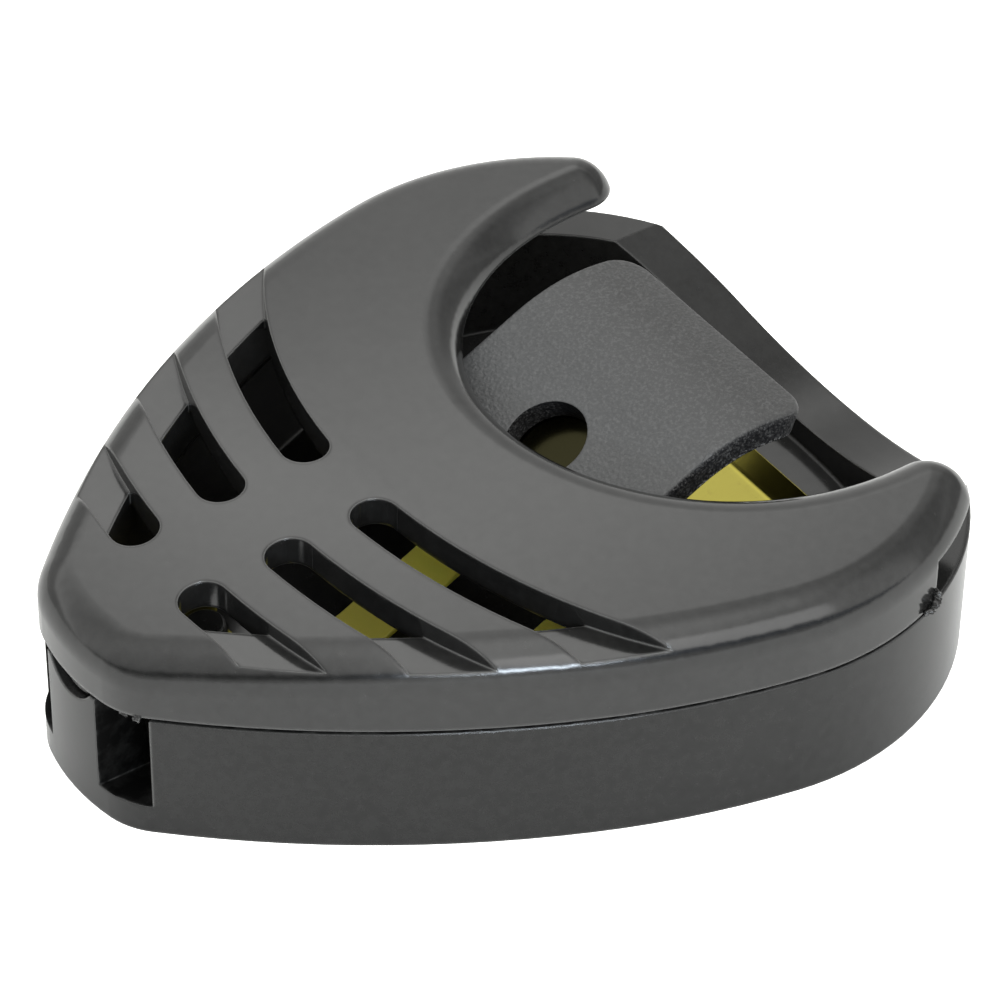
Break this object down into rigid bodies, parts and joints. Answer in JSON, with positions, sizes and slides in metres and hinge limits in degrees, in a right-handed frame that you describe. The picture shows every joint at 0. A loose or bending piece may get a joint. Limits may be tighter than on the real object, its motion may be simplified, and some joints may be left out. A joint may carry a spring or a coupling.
{
  "type": "plectrum holder",
  "caption": "Stick-on plectrum holder: shield-shaped tray with a slotted domed cover, a hinged thumb pusher and a brass leaf spring.",
  "frame": {"origin": "centre of the flat mounting face, at the bottom centre of the bounding box", "axes": "+Y along the length from the narrow tip to the thumb end, +Z out of the mounting face through the cover, +X across"},
  "size_m": [0.0378, 0.044, 0.0114],
  "materials": {
    "tray_plastic": "glossy black moulded plastic",
    "cover_plastic": "glossy black moulded plastic",
    "pusher_plastic": "black plastic with a fine sparked texture",
    "leaf_brass": "cold-rolled yellow brass strip",
    "pad_foam": "closed-cell adhesive foam"
  },
  "bodies": {
    "holder": {"base_tray": "tray_plastic", "cover": "cover_plastic", "leaf_spring": "leaf_brass", "adhesive_pad": "pad_foam"},
    "pusher": {"thumb_pusher": "pusher_plastic"}
  },
  "joints": [
    {"name": "pusher_press", "type": "hinge", "parent": "holder", "child": "pusher", "pos_m": [0, 0.0012, 0.0065], "axis": [1, 0, 0], "range_deg": [-24, 0], "stiffness_Nm_per_rad": 0.02, "deforming": ["leaf_spring"]}
  ]
}
